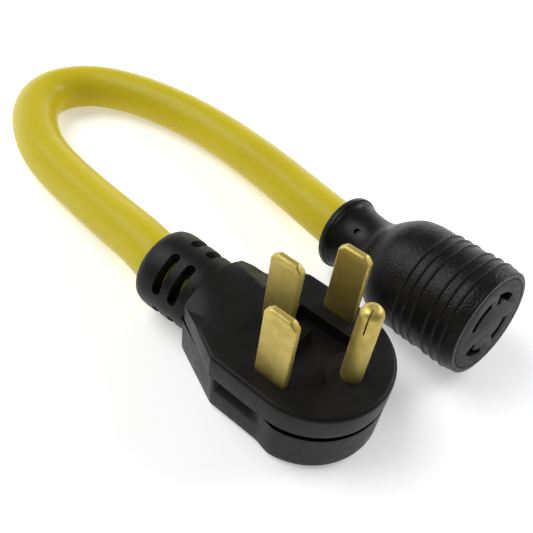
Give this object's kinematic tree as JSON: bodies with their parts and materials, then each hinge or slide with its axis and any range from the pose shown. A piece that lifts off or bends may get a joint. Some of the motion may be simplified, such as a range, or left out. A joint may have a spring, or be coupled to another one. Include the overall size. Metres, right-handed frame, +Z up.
{
  "type": "power adapter cord",
  "caption": "Short yellow power cord that joins a right-angle flat-bladed plug to a barrel-shaped locking socket, lying in a loop.",
  "frame": {"origin": "centre of the footprint of the plug and the connector on the surface they lie on, cord left out", "axes": "+Z up, the way the blades point out of the plug's face; +X along the plug from its cord towards its ground pin; the connector lies on the +Y side"},
  "size_m": [0.21, 0.1025, 0.0503],
  "materials": {
    "black_pvc": "satin moulded PVC, fine leather grain",
    "black_nylon": "matt moulded nylon",
    "brass": "stamped, lightly brushed",
    "tinned_copper": "tinned copper",
    "yellow_pvc": "glossy extruded PVC",
    "black_insulation": "extruded insulation",
    "red_insulation": "extruded insulation",
    "white_insulation": "extruded insulation",
    "green_insulation": "extruded insulation"
  },
  "bodies": {
    "root": {"plug_overmold": "black_pvc", "prong_carrier": "black_nylon", "hot_blade_1": "brass", "hot_blade_2": "brass", "neutral_blade": "brass", "ground_pin": "brass", "hot_crimp_1": "tinned_copper", "hot_crimp_2": "tinned_copper", "neutral_crimp": "tinned_copper", "ground_crimp": "tinned_copper", "plug_lead_black": "black_insulation", "plug_lead_red": "red_insulation", "plug_lead_white": "white_insulation", "plug_lead_green": "green_insulation", "cable_jacket": "yellow_pvc", "connector_overmold": "black_pvc", "connector_face": "black_nylon", "contact_carrier": "black_nylon", "contact_x": "brass", "contact_y": "brass", "contact_w": "brass", "contact_g": "brass", "connector_lead_black": "black_insulation", "connector_lead_red": "red_insulation", "connector_lead_white": "white_insulation", "connector_lead_green": "green_insulation"}
  },
  "joints": []
}
